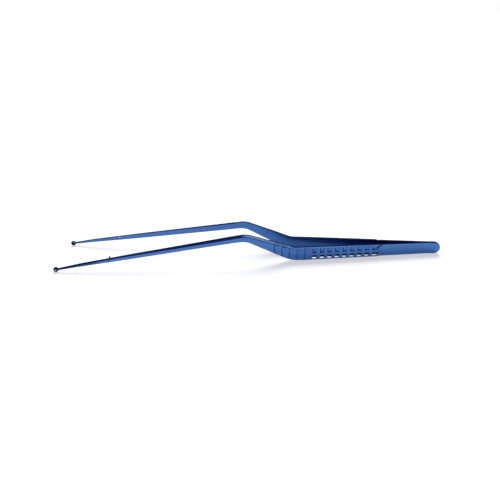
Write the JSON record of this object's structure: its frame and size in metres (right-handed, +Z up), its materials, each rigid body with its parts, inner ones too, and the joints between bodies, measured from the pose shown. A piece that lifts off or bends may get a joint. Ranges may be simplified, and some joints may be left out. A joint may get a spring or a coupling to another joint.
{
  "type": "bayonet tumor grasping forceps",
  "caption": "Slim cranked spring forceps with two welded leaf-spring arms, a ribbed and windowed grip, a guide pin and small holed cup tips for grasping tissue.",
  "frame": {"origin": "middle of the overall box, on the surface the forceps stands on", "axes": "+X towards the welded butt, -X towards the cups, +Z up, left arm at -Y, right arm at +Y"},
  "size_m": [0.2296, 0.0342, 0.0185],
  "materials": {
    "blue_anodised": "satin blue anodised titanium",
    "pin_metal": "satin, dark blue"
  },
  "bodies": {
    "right_side": {"right_arm": "blue_anodised"},
    "left_side": {"left_arm": "blue_anodised", "guide_pin": "pin_metal"}
  },
  "joints": [
    {"name": "squeeze", "type": "hinge", "parent": "right_side", "child": "left_side", "pos_m": [0.10683, 0, 0.004], "axis": [0, 0, -1], "range_deg": [0, 7.95], "stiffness_Nm_per_rad": 1.5}
  ]
}
